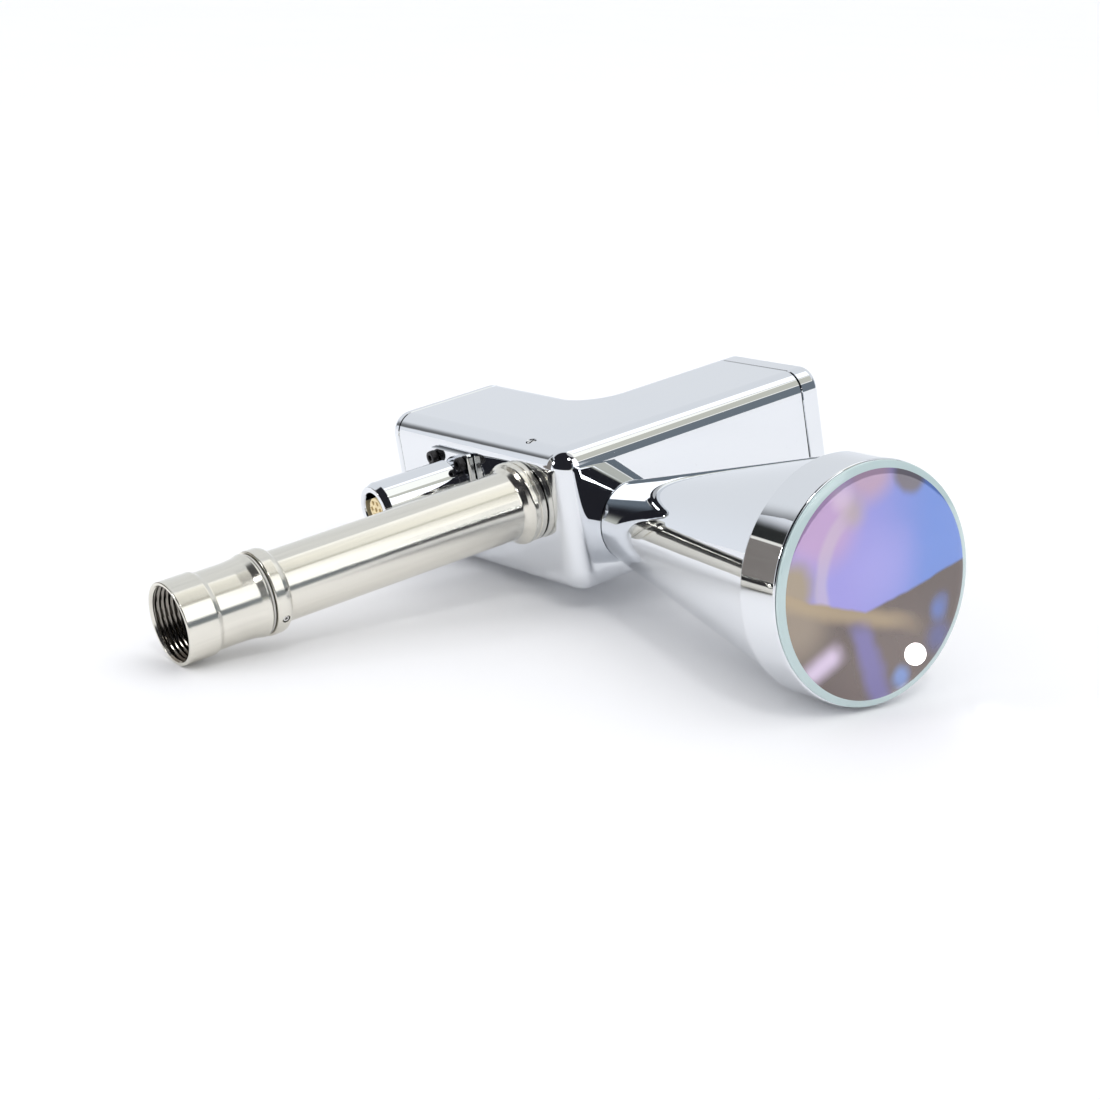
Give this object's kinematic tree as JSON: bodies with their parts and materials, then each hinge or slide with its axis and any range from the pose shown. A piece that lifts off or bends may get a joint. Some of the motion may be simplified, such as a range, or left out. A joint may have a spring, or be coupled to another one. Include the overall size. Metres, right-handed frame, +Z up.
{
  "type": "otoscope",
  "caption": "Laser-scanner otoscope head: chrome elbow housing, steel arm tube with coupling nut, conical viewing magnifier, plug socket and speculum seat.",
  "frame": {"origin": "centre of the footprint box, on the surface that the instrument lies on", "axes": "+Z up from the surface it lies on; +X along the scanner arm, away from the arm tube; +Y towards the speculum seat, away from the viewing lens. The housing lies tilted by about 9 degrees about Y and 4 degrees about X, on the rims of its coupling nut and lens bezel and one corner of the speculum arm"},
  "size_m": [0.2352, 0.226, 0.0712],
  "materials": {
    "chrome": "mirror-polished chrome plate",
    "steel": "satin turned stainless steel",
    "dark_metal": "black oxide",
    "gold": "pale gold plate",
    "aluminium": "milled, clear anodised",
    "rubber": "matte",
    "polymer": "low-friction washer",
    "mirror_coat": "metal-coated front surface",
    "board": "solder mask",
    "lens_glass": "anti-reflection coated, polished",
    "window": "polished infrared window"
  },
  "bodies": {
    "head": {"housing": "chrome", "scanner_end_cap": "chrome", "speculum_end_cap": "chrome", "viewing_cone": "chrome", "lens_bezel": "chrome", "connector_shell": "chrome", "handle_tube": "steel", "retaining_collar": "steel", "speculum_seat": "steel", "upper_scan_motor": "steel", "lower_scan_motor": "steel", "scanner_cap_screw_1": "steel", "scanner_cap_screw_2": "steel", "scanner_cap_screw_3": "steel", "scanner_cap_screw_4": "steel", "speculum_cap_screw_1": "steel", "speculum_cap_screw_2": "steel", "speculum_cap_screw_3": "steel", "speculum_cap_screw_4": "steel", "cone_lock_ring": "dark_metal", "lens_retaining_ring": "dark_metal", "snap_ring": "dark_metal", "collar_set_screw": "dark_metal", "tube_set_screw": "dark_metal", "lens_cell_ring": "dark_metal", "connector_screw_1": "dark_metal", "connector_screw_2": "dark_metal", "connector_screw_3": "dark_metal", "connector_screw_4": "dark_metal", "connector_insert": "gold", "connector_contact_1": "gold", "connector_contact_2": "gold", "connector_contact_3": "gold", "connector_contact_4": "gold", "connector_contact_5": "gold", "connector_contact_6": "gold", "connector_contact_7": "gold", "motor_bracket": "aluminium", "combiner_mount": "aluminium", "lens_cell": "aluminium", "scanner_cap_seal": "rubber", "speculum_cap_seal": "rubber", "slip_washer": "polymer", "driver_board": "board", "viewing_lens": "lens_glass", "exit_window": "window", "focusing_lens": "window", "beam_combiner": "window"},
    "arm_coupling": {"coupling_nut": "steel"},
    "upper_scanner": {"upper_scan_mirror": "mirror_coat", "upper_mirror_hub": "steel"},
    "lower_scanner": {"lower_scan_mirror": "mirror_coat", "lower_mirror_hub": "steel"}
  },
  "joints": [
    {"name": "coupling_nut_spin", "type": "hinge", "parent": "head", "child": "arm_coupling", "pos_m": [-0.10162, 0.02546, 0.01484], "axis": [-0.9869, 0, -0.1615], "continuous": true},
    {"name": "upper_mirror_spin", "type": "hinge", "parent": "head", "child": "upper_scanner", "pos_m": [0.08194, 0.02546, 0.04488], "axis": [0.5839, 0.0525, 0.8101], "continuous": true},
    {"name": "lower_mirror_spin", "type": "hinge", "parent": "head", "child": "lower_scanner", "pos_m": [0.08366, 0.02467, 0.03435], "axis": [0.8117, -0.0525, -0.5817], "continuous": true}
  ]
}
